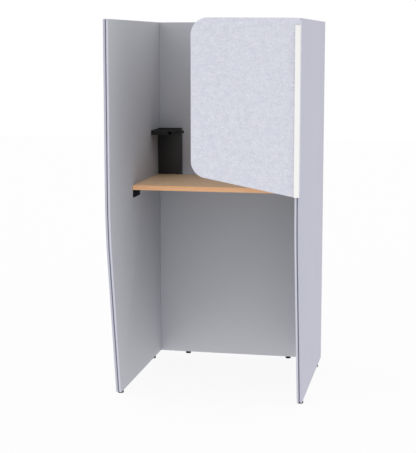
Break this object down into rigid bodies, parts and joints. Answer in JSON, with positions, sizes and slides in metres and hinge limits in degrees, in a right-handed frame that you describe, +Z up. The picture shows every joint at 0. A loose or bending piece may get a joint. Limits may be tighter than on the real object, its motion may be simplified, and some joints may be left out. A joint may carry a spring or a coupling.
{
  "type": "office booth",
  "caption": "U-shaped standing work booth of tall panels with a desk, a felt screen across part of the open front, a cable riser with a shelf, and adjuster feet.",
  "frame": {"origin": "on the floor under the middle of the whole booth", "axes": "+X to the right as seen from the open front, +Y to the back panel, +Z up"},
  "size_m": [0.904, 1.021, 1.7944],
  "materials": {
    "panel_board": "matt painted light grey board",
    "core_wood": "dark painted frame in the groove",
    "core_paper": "paper honeycomb",
    "desk_laminate": "light wood-grain laminate",
    "desk_edge": "wood-coloured edging",
    "black_metal": "matt black powder coat",
    "felt": "pale grey mottled pressed felt",
    "white_strip": "matt white",
    "dowel_wood": "plain wood",
    "screw_steel": "black steel",
    "insert_steel": "plated steel",
    "foot_plastic": "matt black"
  },
  "bodies": {
    "booth": {"left_outer_board": "panel_board", "left_inner_board": "panel_board", "left_core_frame": "core_wood", "left_core_fill": "core_paper", "right_outer_board": "panel_board", "right_inner_board": "panel_board", "right_core_frame": "core_wood", "right_core_fill": "core_paper", "back_outer_board": "panel_board", "back_inner_board": "panel_board", "back_core_frame": "core_wood", "back_core_fill": "core_paper", "left_corner_rail": "core_wood", "right_corner_rail": "core_wood", "corner_rail_screws": "screw_steel", "desk_top": "desk_laminate", "desk_front_edging": "desk_edge", "desk_bracket_front_left": "black_metal", "desk_bracket_front_right": "black_metal", "desk_bracket_rear_left": "black_metal", "desk_bracket_rear_right": "black_metal", "bracket_panel_screws": "screw_steel", "bracket_desk_screws": "screw_steel", "screen_felt": "felt", "screen_clamp_strip": "white_strip", "screen_dowels": "dowel_wood", "riser_channel": "black_metal", "riser_cover": "black_metal", "riser_shelf": "black_metal", "riser_screws": "screw_steel", "foot_inserts": "insert_steel"},
    "foot_left_front": {"foot_pad_left_front": "foot_plastic", "foot_stud_left_front": "insert_steel"},
    "foot_left_rear": {"foot_pad_left_rear": "foot_plastic", "foot_stud_left_rear": "insert_steel"},
    "foot_right_front": {"foot_pad_right_front": "foot_plastic", "foot_stud_right_front": "insert_steel"},
    "foot_right_rear": {"foot_pad_right_rear": "foot_plastic", "foot_stud_right_rear": "insert_steel"},
    "foot_back_left": {"foot_pad_back_left": "foot_plastic", "foot_stud_back_left": "insert_steel"},
    "foot_back_right": {"foot_pad_back_right": "foot_plastic", "foot_stud_back_right": "insert_steel"}
  },
  "joints": [
    {"name": "foot_left_front_adjust", "type": "slide", "parent": "booth", "child": "foot_left_front", "axis": [0, 0, -1], "range_m": [0, 0.012]},
    {"name": "foot_left_rear_adjust", "type": "slide", "parent": "booth", "child": "foot_left_rear", "axis": [0, 0, -1], "range_m": [0, 0.012]},
    {"name": "foot_right_front_adjust", "type": "slide", "parent": "booth", "child": "foot_right_front", "axis": [0, 0, -1], "range_m": [0, 0.012]},
    {"name": "foot_right_rear_adjust", "type": "slide", "parent": "booth", "child": "foot_right_rear", "axis": [0, 0, -1], "range_m": [0, 0.012]},
    {"name": "foot_back_left_adjust", "type": "slide", "parent": "booth", "child": "foot_back_left", "axis": [0, 0, -1], "range_m": [0, 0.012]},
    {"name": "foot_back_right_adjust", "type": "slide", "parent": "booth", "child": "foot_back_right", "axis": [0, 0, -1], "range_m": [0, 0.012]}
  ]
}
